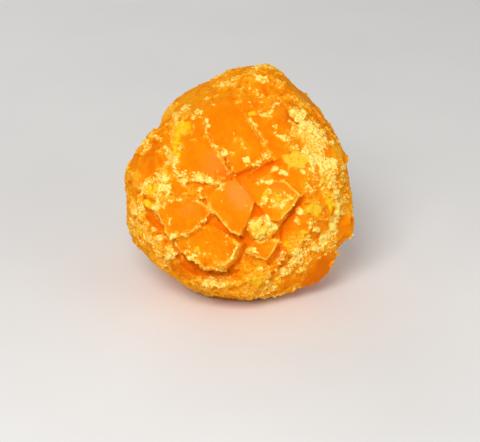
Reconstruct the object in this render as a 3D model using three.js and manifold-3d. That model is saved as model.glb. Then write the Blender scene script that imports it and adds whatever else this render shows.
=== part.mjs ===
// A lump of jaggery: cane juice boiled down, pressed by hand into a ball while warm, and broken on one
// side when it was cold. The pressed skin is waxy and gently flattened. The broken face is a shallow
// hollow with flat shards lapping over each other in it, and dry sugar crumbs cling along the edges.
//
// Millimetres, +Z up. The origin is in the plane of the flat foot, under the middle of the lump. The
// broken face looks along -Y and up. The lump is worked out in the frame of its broken face (X right, Y
// up the face, Z out of it, origin at the middle of the ball), and is stood on its foot at the end.

import * as THREE from "three";
import { ImprovedNoise } from "three/addons/math/ImprovedNoise.js";
import { mergeVertices } from "three/addons/utils/BufferGeometryUtils.js";
import Module from "manifold-3d";

const wasm = await Module();
wasm.setup();

// ---- Driving dimensions -----------------------------------------------------------------------------

const halfWidth = 36.5; // the ball before pressing, across the broken face
const halfHeight = 38.3; // up the broken face
const halfDepth = 33; // from the middle out to the broken face
const lookUp = 25; // degrees that the broken face looks up when the lump stands
const footDrop = 35.2; // from the middle of the ball down to the flat foot
const ballFineness = 12; // edges along one side of each starting triangle, less one

// Where the hand knocked a knob out of the ball. Angles are in degrees: around the face from its right-
// hand side, and from the rim (0) towards the middle of the face (90) or of the back (-90).
const knobs = [
  { around: 74, toFront: 5, rise: 2.4, spread: 20 }, // crown
  { around: 32, toFront: 14, rise: 1.3, spread: 9 },
  { around: 14, toFront: 27, rise: 1.0, spread: 8 }, // right shoulder
  { around: -20, toFront: 4, rise: 7.5, spread: 8.4 }, // lower right knob
  { around: -48, toFront: 2, rise: 4.6, spread: 13.6 }, // lower right lobe
  { around: 216, toFront: 2, rise: 1.9, spread: 19 }, // lower left cheek
  { around: 165, toFront: 14, rise: 4.9, spread: 21 }, // upper left cheek
  { around: 152, toFront: 4, rise: -7.8, spread: 23 }, // dent between the cheek and the crown
  { around: 127, toFront: 3, rise: 3.4, spread: 8 },
  { around: 120, toFront: -48, rise: 2.2, spread: 18 }, // back
  { around: 330, toFront: -52, rise: 2.0, spread: 22 },
  { around: 200, toFront: -30, rise: 1.8, spread: 12 },
  { around: 62, toFront: -28, rise: 1.5, spread: 12 },
  { around: 292, toFront: -20, rise: 1.4, spread: 12 },
  { around: 155, toFront: -62, rise: -1.8, spread: 14 },
  { around: 30, toFront: -74, rise: -1.6, spread: 13 },
  { around: 258, toFront: -24, rise: -1.2, spread: 10 },
];

// Where a palm pressed it flat: the way the flat looks and how far it is from the middle of the ball.
const flats = [
  { around: 130, toFront: 8, reach: 33.4 }, // upper left
  { around: 119, toFront: 22, reach: 31.9 },
  { around: 41, toFront: 10, reach: 35.2 }, // upper right
  { around: 2, toFront: -14, reach: 36.5 }, // right
  { around: 230, toFront: 6, reach: 39.2 }, // lower left
  { around: -49, toFront: 40, reach: 33.6 }, // lower right facet, under the rim of the broken face
  { around: 60, toFront: 52, reach: 32.8 }, // top of the broken face
  { around: 150, toFront: 55, reach: 32.6 },
  { around: 20, toFront: -50, reach: 32.4 }, // back
  { around: 170, toFront: -40, reach: 33.6 },
  { around: 95, toFront: -38, reach: 34.0 },
  { around: 250, toFront: -46, reach: 33.2 },
  { around: 0, toFront: -88, reach: 29.8 },
];
const flatBlend = 4.4; // how softly a flat runs into the ball
const waves = [
  { pitch: 21, rise: 1.1 }, // slow swells
  { pitch: 9, rise: 0.75 }, // dents
  { pitch: 3.6, rise: 0.2 }, // grain
];

// The break: its middle on the face, its reach, its depth below the ball, the width of its sloping wall.
const hollow = { at: [-3, -12.5], reach: 25, depth: 3.9, wall: 6 };

// The flat shards in the break. Corners run round the shard, in millimetres right and up the face. lift
// is how far its middle stands above the hollow, and lean how its top drops, as rise over run, towards
// the right and upwards.
const shardDepth = 6;
const shards = {
  "left pane": {
    corners: [
      [-20.9, 5.4], [-18.4, 12.6], [-9.6, 14.6], [-2.1, 2.5], [-4.8, 0.6],
      [-12.4, 1.6], [-19.8, 1.2],
    ],
    lift: 2.1,
    lean: [-0.05, 0.12],
  },
  "upper chip": {
    corners: [[-16.2, 13.4], [-12.4, 18.8], [-9.4, 15.4], [-10.0, 13.8]],
    lift: 0.5,
    lean: [0.1, 0.1],
  },
  "ridge under the pane": {
    corners: [
      [-21.4, -0.6], [-19.8, 1.2], [-13.0, 2.4], [-6.4, 0.9], [-4.6, -0.9],
      [-7.2, -0.9], [-13.2, 0.4],
    ],
    lift: 1.9,
    lean: [0, 0.1],
  },
  "middle shard": {
    corners: [
      [-1.1, 1.7], [4.8, -6.4], [3.3, -11.7], [0.5, -17.1], [-2.5, -16.1],
      [-9.1, -8.4], [-10.3, -5.4], [-5.4, -1.1],
    ],
    lift: 4.2,
    lean: [0.05, 0.14],
  },
  "right shard": {
    corners: [
      [-0.2, -0.2], [7.5, 0.0], [14.6, 0.5], [19.8, -4.3], [13.4, -12.7],
      [8.6, -11.6], [5.2, -6.3],
    ],
    lift: 3.0,
    lean: [-0.16, 0.08],
  },
  "left slab": {
    corners: [
      [-26.6, -9.4], [-24.4, -7.2], [-21.4, -5.6], [-12.6, -6.2], [-9.6, -7.6], [-8.8, -9.8],
      [-12.2, -13.2], [-14.6, -15.8], [-20.6, -18.0], [-23.0, -17.0],
    ],
    lift: 2.8,
    lean: [0.12, 0.2],
  },
  "bottom slab": {
    corners: [
      [-20.7, -19.0], [-18.6, -16.6], [-14.0, -14.8], [-8.6, -13.2], [0.1, -20.0], [-1.6, -23.9],
      [-4.8, -27.5], [-8.1, -28.9], [-13.4, -26.8], [-18.7, -23.0],
    ],
    lift: 3.0,
    lean: [-0.03, 0.28],
  },
  "small shard": {
    corners: [[2.0, -22.9], [5.9, -18.2], [13.4, -18.5], [9.2, -25.6], [4.8, -23.9]],
    lift: 2.8,
    lean: [-0.12, 0.3],
  },
  "clump of crust": {
    corners: [
      [2.6, -14.6], [5.6, -11.2], [10.6, -11.4], [12.6, -14.4], [10.4, -18.2],
      [4.8, -18.4],
    ],
    lift: 2.9,
    lean: [0.02, 0.05],
  },
  "nook chip, right": {
    corners: [[-9.6, -1.2], [-5.0, -1.4], [-8.9, -5.2], [-12.0, -5.6], [-13.4, -1.6]],
    lift: 1.3,
    lean: [0.1, 0.05],
  },
  "nook chip, left": {
    corners: [[-22.0, -0.8], [-17.0, -0.6], [-14.8, -4.0], [-20.8, -4.6]],
    lift: 1.0,
    lean: [-0.08, 0.1],
  },
};
const chipPitch = 3.0; // a broken edge changes direction about this often
const chipDepth = 0.38;
const edgeRound = 0.3;

// The plates that follow the curve of the ball round the break, given the same way. over is how much of
// the hollow a plate bridges: 1 keeps to the ball, and its edge overhangs the break.
const plateDepth = 2.4;
const ringPitch = 5; // between the rings of corners on a plate's top
const plates = {
  "brow, left": {
    corners: [
      [-10.2, 15.8], [-8.4, 24.6], [-1.0, 25.2], [3.2, 19.8], [7.9, 12.0],
      [4.4, 4.4], [-1.2, 1.9], [-4.6, 8.0],
    ],
    lift: 0.5,
    lean: [0, 0.05],
    over: 0.8,
  },
  "brow, right": {
    corners: [
      [3.6, 19.6], [11.2, 27.0], [17.4, 19.0], [15.6, 11.4], [13.6, 8.8], [10.2, 9.0],
      [4.4, 3.6], [5.6, 10.0],
    ],
    lift: 0.35,
    lean: [-0.03, 0.03],
    over: 0.6,
  },
  "shoulder band": {
    corners: [[11.4, 27.6], [15.2, 31.6], [22.8, 23.6], [26.0, 14.4], [18.6, 18.2]],
    lift: 0.6,
    lean: [0.03, -0.02],
    over: 1,
  },
  "right shoulder": {
    corners: [[28.6, 12.0], [32.4, 13.0], [34.6, 8.6], [34.4, 2.6], [31.0, 1.4], [28.4, 5.6]],
    lift: 0.6,
    lean: [-0.05, 0.02],
    over: 1,
  },
  "right rim": {
    corners: [[28.6, -0.8], [34.6, 0.8], [35.6, -6.2], [33.6, -14.4], [28.2, -14.0], [26.6, -6.0]],
    lift: 0.5,
    lean: [0.06, 0.03],
    over: 1,
  },
  "sugar flake": {
    corners: [
      [14.2, 6.0], [15.4, 8.8], [19.0, 10.0], [23.0, 8.6], [23.4, 5.6], [20.2, 4.0],
      [16.4, 4.6],
    ],
    lift: 1.0,
    lean: [0.04, 0.06],
    over: 1,
  },
  "upper left": {
    corners: [
      [-22.0, 25.6], [-12.2, 31.0], [-6.0, 31.4], [-10.0, 26.0], [-15.4, 21.8],
      [-20.8, 20.6],
    ],
    lift: 0.4,
    lean: [0.02, -0.02],
    over: 1,
  },
  "crown": {
    corners: [[-3.8, 35.6], [4.8, 37.0], [12.6, 35.6], [15.4, 31.8], [7.0, 30.6], [-1.6, 31.4]],
    lift: 0.4,
    lean: [0, -0.03],
    over: 1,
  },
  "left rim, upper": {
    corners: [
      [-35.0, 1.4], [-31.4, 9.6], [-24.8, 12.0], [-23.2, 5.6], [-28.8, -0.8],
      [-34.0, -3.4],
    ],
    lift: 0.5,
    lean: [-0.05, 0.03],
    over: 1,
  },
  "left rim, lower": {
    corners: [[-34.4, -5.6], [-30.0, -4.8], [-28.2, -10.4], [-31.8, -14.8], [-34.4, -12.4]],
    lift: 0.6,
    lean: [0.05, 0],
    over: 1,
  },
  "lip, lower left": {
    corners: [[-32.0, -16.6], [-26.6, -15.6], [-20.2, -23.6], [-23.6, -27.2], [-29.0, -23.2]],
    lift: 0.9,
    lean: [-0.06, -0.08],
    over: 1,
  },
  "lip, bottom left": {
    corners: [[-20.6, -29.2], [-18.6, -25.6], [-7.0, -31.4], [-8.0, -35.8], [-14.6, -33.6]],
    lift: 0.8,
    lean: [0, -0.05],
    over: 1,
  },
  "lip, bottom": {
    corners: [[-9.6, -35.2], [-8.8, -31.6], [5.6, -29.4], [10.2, -32.4], [3.4, -36.4]],
    lift: 0.8,
    lean: [0, -0.05],
    over: 1,
  },
  "lip, lower right": {
    corners: [[8.0, -34.2], [8.2, -28.4], [12.4, -23.4], [20.0, -21.0], [15.4, -29.4]],
    lift: 1.0,
    lean: [-0.05, 0.06],
    over: 0.9,
  },
};

// Hairline cracks in the face: two ends, right and up the face.
const cracks = [
  [[2.6, 20.4], [8.0, 12.0]],
  [[11.0, 27.6], [18.4, 18.4]],
];
const crackWidth = 0.6;
const crackDepth = 1.3;

// Clefts that the break left open beside the shards. along gives places right and up the face, each with
// the share of the width and depth that the cleft has there.
const clefts = {
  "left of the left slab": {
    along: [
      [-31.0, -6.0, 0.3], [-29.0, -10.0, 1.0], [-26.4, -14.6, 1.0], [-22.6, -19.0, 0.9],
      [-20.4, -22.4, 0.3],
    ],
    width: 4.8,
    depth: 2.6,
  },
  "below the bottom slab": {
    along: [
      [-20.6, -24.0, 0.3], [-17.0, -27.8, 1.0], [-11.0, -30.2, 1.0], [-4.6, -29.8, 1.0],
      [0.6, -28.4, 0.3],
    ],
    width: 4.6,
    depth: 2.6,
  },
  "right of the bottom slab": {
    along: [[0.6, -16.8, 0.3], [1.2, -20.4, 1.0], [0.0, -24.6, 0.9], [-3.2, -28.6, 0.3]],
    width: 4.2,
    depth: 2.8,
  },
  "under the brow": {
    along: [[2.4, 0.8, 0.2], [5.8, 2.2, 0.7], [9.2, 4.2, 1.0], [12.6, 5.8, 0.7], [14.6, 7.0, 0.3]],
    width: 5.0,
    depth: 2.8,
  },
  "right of the right shard": {
    along: [
      [21.8, -4.0, 0.3], [19.6, -6.6, 1.0], [16.4, -10.4, 0.7], [13.8, -14.4, 0.6],
      [13.6, -19.4, 0.3],
    ],
    width: 4.0,
    depth: 2.8,
  },
  "under the shoulder": {
    along: [[12.4, 25.4, 0.3], [16.6, 20.6, 1.0], [18.6, 18.8, 1.0], [21.6, 19.0, 0.3]],
    width: 2.0,
    depth: 1.6,
  },
};
const cleftFloor = 0.5; // the width of its floor, as a share of the width that it opens to

// Thin scales pressed into the skin, all round the ball but for the break. Each is proud along one side.
const scales = {
  count: 34,
  size: [3.0, 7.4],
  sides: [5, 8],
  stretch: [1, 1.5],
  cornerReach: [0.75, 1.15], // shares of the size
  cornerShift: 0.25, // share of the way to the next corner
  depth: 1.2,
  lift: 0.22,
  lean: 0.07,
};

// Crumbs: bands along the shards' edges, patches on the face, and some all round.
const crumbs = {
  alongEdges: 18,
  allRound: 16,
  least: 0.6,
  most: 1.5,
  cornerReach: [0.7, 1.2], // shares of the size
  stretch: [[0.8, 1.5], [0.8, 1.3], [0.7, 1]],
  stand: 0.08, // its middle above the surface, as a share of the size
};
const patches = [
  { at: [22.6, 12.0], reach: [6.2, 11.0], count: 13 }, // right shoulder
  { at: [7.9, -14.8], reach: [4.2, 3.6], count: 8 }, // clump between the shards
  { at: [-19.4, 14.2], reach: [3.2, 7.0], count: 6 }, // upper left
  { at: [26.5, -10.0], reach: [5.0, 9.0], count: 8 },
  { at: [-6.0, -32.6], reach: [11.0, 2.6], count: 8 }, // under the bottom slab
  { at: [-28.6, -4.0], reach: [5.0, 14.0], count: 7 }, // left rim
];
const seed = 20;

// ---- Chance and noise -------------------------------------------------------------------------------

THREE.MathUtils.seededRandom(seed);
const chance = () => THREE.MathUtils.seededRandom();
const between = (low, high) => low + (high - low) * chance();

const perlin = new ImprovedNoise();

// ---- The pressed ball -------------------------------------------------------------------------------

const rad = THREE.MathUtils.degToRad;

function direction({ around, toFront }) {
  const flat = Math.cos(rad(toFront));
  const out = Math.sin(rad(toFront));
  return new THREE.Vector3(flat * Math.cos(rad(around)), flat * Math.sin(rad(around)), out);
}

for (const place of [...knobs, ...flats]) place.way = direction(place);

// The smaller of two lengths, with the corner between them rounded over a length.
function softMin(a, b, blend) {
  const share = THREE.MathUtils.clamp(0.5 + (0.5 * (b - a)) / blend, 0, 1);
  return THREE.MathUtils.lerp(b, a, share) - blend * share * (1 - share);
}

// Distance from the middle to the skin along a unit direction. hollowed is the share of the hollow cut.
function reachOfBall(way, hollowed = 1) {
  let reach = 1 / Math.hypot(way.x / halfWidth, way.y / halfHeight, way.z / halfDepth);
  for (const knob of knobs) {
    reach += knob.rise * Math.exp(-((way.angleTo(knob.way) / rad(knob.spread)) ** 2));
  }
  for (const flat of flats) {
    const facing = way.dot(flat.way);
    if (facing > 0) reach = softMin(reach, flat.reach / facing, flatBlend);
  }
  if (way.z > 0) {
    const off = Math.hypot(way.x * reach - hollow.at[0], way.y * reach - hollow.at[1]);
    const share = THREE.MathUtils.smoothstep(hollow.reach - off, 0, hollow.wall);
    reach -= hollowed * hollow.depth * share * way.z;
  }
  for (const { pitch, rise } of waves) {
    const scale = halfWidth / pitch;
    reach += rise * perlin.noise(way.x * scale + pitch, way.y * scale, way.z * scale);
  }
  return reach;
}

const slopeSpan = 1.5; // a slope is read this far to each side
const settlingTurns = 12;

// The point of the skin along a direction, and the way the skin faces there.
function skinAlong(way) {
  const point = way.clone().multiplyScalar(reachOfBall(way));
  const slope = (axis) => {
    const step = new THREE.Vector3().setComponent(axis, slopeSpan);
    const ahead = point.clone().add(step);
    const behind = point.clone().sub(step);
    const outside = (p) => p.length() - reachOfBall(p.clone().normalize());
    return outside(ahead) - outside(behind);
  };
  return { point, normal: new THREE.Vector3(slope(0), slope(1), slope(2)).normalize() };
}

// The skin of the broken face at a place right and up the face: how far out it is settles in a few turns.
function skinOfFace([right, up]) {
  let out = halfDepth;
  for (let turn = 0; turn < settlingTurns; turn++) {
    const way = new THREE.Vector3(right, up, out).normalize();
    const reach = reachOfBall(way);
    out = Math.sqrt(Math.max(reach ** 2 - right ** 2 - up ** 2, 1));
  }
  return skinAlong(new THREE.Vector3(right, up, out).normalize());
}

// ---- Solids -----------------------------------------------------------------------------------------

const weldGap = 1e-4; // corners this close are one corner

// A closed three.js geometry as a solid that can be joined and cut.
function solid(geometry) {
  const bare = geometry.clone();
  bare.deleteAttribute("normal");
  bare.deleteAttribute("uv");
  const merged = mergeVertices(bare, weldGap);
  return new wasm.Manifold(
    new wasm.Mesh({
      numProp: 3,
      vertProperties: merged.attributes.position.array,
      triVerts: new Uint32Array(merged.index.array),
    }),
  );
}

// A solid as a three.js geometry.
function geometryOf(joined) {
  const { vertProperties, triVerts } = joined.getMesh();
  return new THREE.BufferGeometry()
    .setAttribute("position", new THREE.BufferAttribute(vertProperties, 3))
    .setIndex(new THREE.BufferAttribute(triVerts, 1));
}

// The largest piece of a solid: loose scraps go, and a hollow that joining sealed is filled.
function wholePiece(joined) {
  return joined.decompose().reduce((a, b) => (b.volume() > a.volume() ? b : a));
}

function ball() {
  const geometry = new THREE.IcosahedronGeometry(1, ballFineness);
  const { position } = geometry.attributes;
  const way = new THREE.Vector3();
  for (let i = 0; i < position.count; i++) {
    way.fromBufferAttribute(position, i).normalize();
    position.setXYZ(i, ...way.multiplyScalar(reachOfBall(way)).toArray());
  }
  return solid(geometry);
}

const leastAcross = 0.2; // a normal that gives less across than this runs nearly along Y

// A frame with its Z along a normal, standing at a point.
function frameAt(point, normal) {
  const across = new THREE.Vector3(0, 1, 0).cross(normal);
  if (across.length() < leastAcross) across.set(1, 0, 0);
  across.normalize();
  const up = normal.clone().cross(across);
  return new THREE.Matrix4().makeBasis(across, up, normal).setPosition(point);
}

// Broken edges: each side of an outline is cut into steps, and each step wanders in or out a little.
function chipped(corners) {
  const outline = [];
  corners.forEach((corner, i) => {
    const next = corners[(i + 1) % corners.length];
    const side = next.clone().sub(corner);
    const steps = Math.max(1, Math.round(side.length() / chipPitch));
    const outward = new THREE.Vector2(side.y, -side.x).normalize();
    for (let step = 0; step < steps; step++) {
      const wander = step ? between(-chipDepth, chipDepth) : 0;
      outline.push(corner.clone().addScaledVector(side, step / steps).addScaledVector(outward, wander));
    }
  });
  return outline;
}

// A flat piece with its top on the XY plane, reaching down by its depth, its edges chipped and rounded.
function brokenSlab(corners, depth) {
  const geometry = new THREE.ExtrudeGeometry(new THREE.Shape(chipped(corners)), {
    depth: depth - 2 * edgeRound,
    bevelThickness: edgeRound,
    bevelSize: edgeRound,
    bevelOffset: -edgeRound,
    bevelSegments: 1,
  });
  return geometry.translate(0, 0, edgeRound - depth);
}

// A shard: its outline is seen square on from in front of the face, and its top is a leaning plane.
function shard({ corners, lift, lean }) {
  const average = (values) => values.reduce((sum, value) => sum + value, 0) / values.length;
  const middle = [average(corners.map(([x]) => x)), average(corners.map(([, y]) => y))];
  const { point, normal } = skinOfFace(middle);
  normal.add(new THREE.Vector3(lean[0], lean[1], 0)).normalize();
  point.addScaledVector(normal, lift);
  const frame = frameAt(point, normal);
  const toFrame = frame.clone().invert();
  const outline = corners.map(([x, y]) => {
    const z = point.z - ((x - point.x) * normal.x + (y - point.y) * normal.y) / normal.z;
    const local = new THREE.Vector3(x, y, z).applyMatrix4(toFrame);
    return new THREE.Vector2(local.x, local.y);
  });
  if (THREE.ShapeUtils.isClockWise(outline)) outline.reverse();
  return solid(brokenSlab(outline, shardDepth + lift).applyMatrix4(frame));
}

// A plate that follows the skin. Its rim is a list of ways out from the middle of the ball, and lean is
// a vector: the top drops along it, as rise over run.
function plateOnSkin(rim, { lift, lean, depth, over }) {
  const middle = rim.reduce((sum, way) => sum.add(way), new THREE.Vector3()).normalize();
  const skin = (way) => way.clone().multiplyScalar(reachOfBall(way, 1 - over));
  const start = skin(middle);
  const top = (way) => {
    const point = skin(way);
    const height = lift - lean.dot(point.clone().sub(start));
    return point.addScaledVector(way, height);
  };
  const under = (way) => way.clone().multiplyScalar(reachOfBall(way) - depth);
  const count = rim.length;
  const span = Math.max(...rim.map((way) => way.angleTo(middle))) * halfWidth;
  const rings = Math.max(1, Math.round(span / ringPitch));
  const points = [];
  for (let ring = 0; ring < rings; ring++) {
    points.push(...rim.map((way) => top(way.clone().lerp(middle, ring / rings).normalize())));
  }
  points.push(top(middle), ...rim.map(under), under(middle));
  const peak = rings * count;
  const low = peak + 1;
  const triangles = [];
  for (let i = 0; i < count; i++) {
    const next = (i + 1) % count;
    for (let ring = 1; ring < rings; ring++) {
      const outer = (ring - 1) * count;
      const inner = ring * count;
      triangles.push(outer + i, outer + next, inner + next, outer + i, inner + next, inner + i);
    }
    triangles.push(peak - count + i, peak - count + next, peak);
    triangles.push(low + i, low + next, next, low + i, next, i); // edge
    triangles.push(low + next, low + i, low + count); // underside
  }
  return solid(new THREE.BufferGeometry().setFromPoints(points).setIndex(triangles));
}

// A plate beside the break, its outline seen square on from in front of the face.
function plate({ corners, lift, lean, over }) {
  const outline = corners.map((corner) => new THREE.Vector2(...corner));
  if (THREE.ShapeUtils.isClockWise(outline)) outline.reverse();
  const rim = chipped(outline).map(({ x, y }) => skinOfFace([x, y]).point.normalize());
  return plateOnSkin(rim, { lift, lean: new THREE.Vector3(...lean, 0), depth: plateDepth, over });
}

// A thin scale somewhere on the skin: an uneven outline of a few corners, proud along one side.
function scale(way) {
  const { point, normal } = skinAlong(way);
  const frame = frameAt(point, normal);
  const size = between(...scales.size);
  const sides = Math.round(between(...scales.sides));
  const turn = between(0, 2 * Math.PI);
  const long = between(...scales.stretch);
  const rim = [];
  for (let side = 0; side < sides; side++) {
    const shift = between(-scales.cornerShift, scales.cornerShift);
    const angle = (2 * Math.PI * (side + shift)) / sides;
    const reach = size * between(...scales.cornerReach);
    const corner = new THREE.Vector2(reach * long * Math.cos(angle), (reach / long) * Math.sin(angle));
    corner.rotateAround(new THREE.Vector2(), turn);
    rim.push(new THREE.Vector3(corner.x, corner.y, 0).applyMatrix4(frame).normalize());
  }
  const downhill = between(0, 2 * Math.PI);
  const lean = new THREE.Vector3(Math.cos(downhill), Math.sin(downhill), 0).transformDirection(frame);
  return plateOnSkin(rim, { ...scales, lean: lean.multiplyScalar(scales.lean), over: 0 });
}

// A crumb: a small uneven ball.
function crumb(point, normal) {
  const size = crumbs.least + (crumbs.most - crumbs.least) * chance() ** 2;
  const geometry = mergeVertices(
    new THREE.OctahedronGeometry(size, 0).deleteAttribute("normal").deleteAttribute("uv"),
  );
  const { position } = geometry.attributes;
  const corner = new THREE.Vector3();
  for (let i = 0; i < position.count; i++) {
    corner.fromBufferAttribute(position, i).multiplyScalar(between(...crumbs.cornerReach));
    position.setXYZ(i, corner.x, corner.y, corner.z);
  }
  geometry.scale(...crumbs.stretch.map((range) => between(...range)));
  geometry.rotateZ(between(0, 2 * Math.PI));
  const middle = point.clone().addScaledVector(normal, size * crumbs.stand);
  return solid(geometry.applyMatrix4(frameAt(middle, normal)));
}

// A wedge that opens a hairline crack between two places on the face.
function crack([from, to]) {
  const start = skinOfFace(from);
  const end = skinOfFace(to);
  const along = end.point.clone().sub(start.point);
  const normal = start.normal.clone().add(end.normal).normalize();
  const profile = new THREE.Shape([
    new THREE.Vector2(0, -crackDepth),
    new THREE.Vector2(crackWidth, crackDepth),
    new THREE.Vector2(-crackWidth, crackDepth),
  ]);
  const wedge = new THREE.ExtrudeGeometry(profile, { depth: along.length(), bevelEnabled: false });
  const run = along.clone().normalize();
  const across = normal.clone().cross(run).normalize();
  const frame = new THREE.Matrix4().makeBasis(across, run.clone().cross(across), run);
  return solid(wedge.applyMatrix4(frame.setPosition(start.point)));
}

// A trough along a few places on the face.
function cleft({ along, width, depth }) {
  const skins = along.map(([right, up]) => skinOfFace([right, up]));
  const last = skins.length - 1;
  const points = skins.flatMap(({ point, normal }, i) => {
    const run = skins[Math.min(i + 1, last)].point.clone().sub(skins[Math.max(i - 1, 0)].point);
    const aside = run.cross(normal).setLength(width / 2);
    const share = along[i][2];
    const at = (side, height) =>
      point.clone().addScaledVector(aside, side * share).addScaledVector(normal, height);
    const floor = -depth * share;
    return [at(-1, depth), at(-cleftFloor, floor), at(cleftFloor, floor), at(1, depth)];
  });
  const triangles = [0, 1, 2, 0, 2, 3];
  const end = 4 * last;
  triangles.push(end, end + 2, end + 1, end, end + 3, end + 2);
  for (let start = 0; start < end; start += 4) {
    for (let side = 0; side < 4; side++) {
      const next = (side + 1) % 4;
      triangles.push(start + side, start + 4 + next, start + next);
      triangles.push(start + side, start + 4 + side, start + 4 + next);
    }
  }
  return solid(new THREE.BufferGeometry().setFromPoints(points).setIndex(triangles));
}

// ---- Putting it together ----------------------------------------------------------------------------

const wayNudge = 0.12; // radians or so

// Directions spread evenly over the ball, each nudged at random.
function waysAllRound(count) {
  const golden = Math.PI * (3 - Math.sqrt(5));
  return Array.from({ length: count }, (_, i) => {
    const z = 1 - (2 * (i + 0.5)) / count;
    const flat = Math.sqrt(1 - z * z);
    const way = new THREE.Vector3(flat * Math.cos(i * golden), flat * Math.sin(i * golden), z);
    const nudge = new THREE.Vector3(between(-1, 1), between(-1, 1), between(-1, 1));
    return way.addScaledVector(nudge, wayNudge).normalize();
  });
}

const bareReach = 27; // no scale and no loose crumb lies this near the middle of the break

function insideBreak(way) {
  const { point } = skinAlong(way);
  return way.z > 0 && Math.hypot(point.x - hollow.at[0], point.y - hollow.at[1]) < bareReach;
}

// Where crumbs lie, as ways out from the middle: along the shards' edges, in the patches, all round.
function crumbWays() {
  const ways = [];
  const broken = [...Object.values(shards), ...Object.values(plates)];
  for (let i = 0; i < crumbs.alongEdges; i++) {
    const { corners } = broken[Math.floor(chance() * broken.length)];
    const side = Math.floor(chance() * corners.length);
    const from = new THREE.Vector2(...corners[side]);
    const to = new THREE.Vector2(...corners[(side + 1) % corners.length]);
    const place = from.lerp(to, chance());
    ways.push(skinOfFace([place.x, place.y]).point.normalize());
  }
  for (const { at, reach, count } of patches) {
    for (let i = 0; i < count; i++) {
      const angle = between(0, 2 * Math.PI);
      const share = Math.sqrt(chance());
      const right = at[0] + reach[0] * share * Math.cos(angle);
      const up = at[1] + reach[1] * share * Math.sin(angle);
      ways.push(skinOfFace([right, up]).point.normalize());
    }
  }
  return [...ways, ...waysAllRound(crumbs.allRound).filter((way) => !insideBreak(way))];
}

// Sits a crumb on the outermost surface along each way.
function withCrumbs(body) {
  const surface = new THREE.Mesh(geometryOf(body), new THREE.MeshBasicMaterial());
  const caster = new THREE.Raycaster();
  const start = halfWidth * 2;
  let joined = body;
  for (const way of crumbWays()) {
    caster.set(way.clone().multiplyScalar(start), way.clone().negate());
    const [hit] = caster.intersectObject(surface);
    if (hit) joined = joined.add(crumb(hit.point, hit.face.normal));
  }
  return joined;
}

function lumpOnItsFace() {
  let body = ball();
  for (const way of waysAllRound(scales.count)) {
    if (!insideBreak(way)) body = body.add(scale(way));
  }
  for (const one of Object.values(plates)) body = body.add(plate(one));
  for (const one of Object.values(clefts)) body = body.subtract(cleft(one));
  for (const one of Object.values(shards)) body = body.add(shard(one));
  for (const line of cracks) body = body.subtract(crack(line));
  return withCrumbs(wholePiece(body));
}

const leastEdge = 0.03; // edges shorter than this are closed up

// Stands the lump up and cuts its foot flat, at the foot's height under the middle of the ball.
function stoodOnFoot(joined) {
  const upright = geometryOf(joined).rotateX(rad(90 - lookUp));
  const size = 4 * halfWidth;
  const table = new THREE.BoxGeometry(size, size, size).translate(0, 0, -footDrop - size / 2);
  const standing = wholePiece(solid(upright).subtract(solid(table)));
  return geometryOf(standing.simplify(leastEdge));
}

const jaggery = new THREE.MeshStandardMaterial({
  name: "jaggery",
  color: 0xf28a0c,
  roughness: 0.55,
  metalness: 0,
});
const lump = new THREE.Mesh(stoodOnFoot(lumpOnItsFace()), jaggery);
lump.name = "jaggery_lump";
lump.geometry.computeBoundingBox();
const middle = lump.geometry.boundingBox.getCenter(new THREE.Vector3());
lump.position.set(-middle.x, -middle.y, footDrop);

const part = new THREE.Group();
part.add(lump);
export default part;
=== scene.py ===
import itertools
import math

import bmesh
import bpy
import numpy as np
from mathutils import Matrix, Vector, bvhtree, kdtree


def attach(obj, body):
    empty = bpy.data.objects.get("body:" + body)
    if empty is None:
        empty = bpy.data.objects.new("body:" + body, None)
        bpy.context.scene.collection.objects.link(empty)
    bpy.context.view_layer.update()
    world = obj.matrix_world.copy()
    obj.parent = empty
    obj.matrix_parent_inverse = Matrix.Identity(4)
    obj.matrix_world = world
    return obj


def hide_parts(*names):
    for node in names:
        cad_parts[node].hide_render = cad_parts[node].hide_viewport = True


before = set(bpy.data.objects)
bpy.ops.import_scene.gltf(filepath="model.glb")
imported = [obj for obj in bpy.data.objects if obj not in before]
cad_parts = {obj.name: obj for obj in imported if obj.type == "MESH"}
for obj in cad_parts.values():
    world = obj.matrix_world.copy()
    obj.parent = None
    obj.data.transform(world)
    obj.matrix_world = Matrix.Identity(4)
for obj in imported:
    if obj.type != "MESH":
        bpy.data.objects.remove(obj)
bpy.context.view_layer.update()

# ---- The lump ----------------------------------------------------------------------------------------
# Cane juice boiled down, pressed by hand into a ball while it is warm, and broken open when it is cold.
# The solid gives every shard and plate. Here the wax between the broken edges is softened, and the dry
# sugar crust that the break and the handling left is grown out of it.

MM = 0.001
LOOK_UP = math.radians(25)  # the broken face looks up this far
BALL_MIDDLE = Vector((-0.19, 1.49, 35.2)) * MM
to_face = Matrix.Rotation(LOOK_UP - math.pi / 2, 4, "X") @ Matrix.Translation(-BALL_MIDDLE)

FINE_VOXEL, BROAD_VOXEL = 0.3 * MM, 1.5 * MM
WELD = 0.001 * MM
SHARP = math.radians(24)  # a broken edge turns at least this far
EDGE_PITCH = 0.4 * MM  # between the points that stand for a broken edge
SOFT_FROM, SOFT_TO = 0.4 * MM, 2.0 * MM  # from a broken edge, where softening starts and is full
LEAST_SOFT = 0.1  # how much an edge itself softens
TURN_SHARE = 0.6  # how far a point goes towards its neighbours' middle in one turn
SOFT_TURNS, BROAD_TURNS, PIT_TURNS = 36, 26, 6
MOST_TRIANGLES = 196000

shell = bmesh.new()
shell.from_mesh(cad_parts["jaggery_lump"].data)
bmesh.ops.remove_doubles(shell, verts=shell.verts, dist=WELD)


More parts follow.
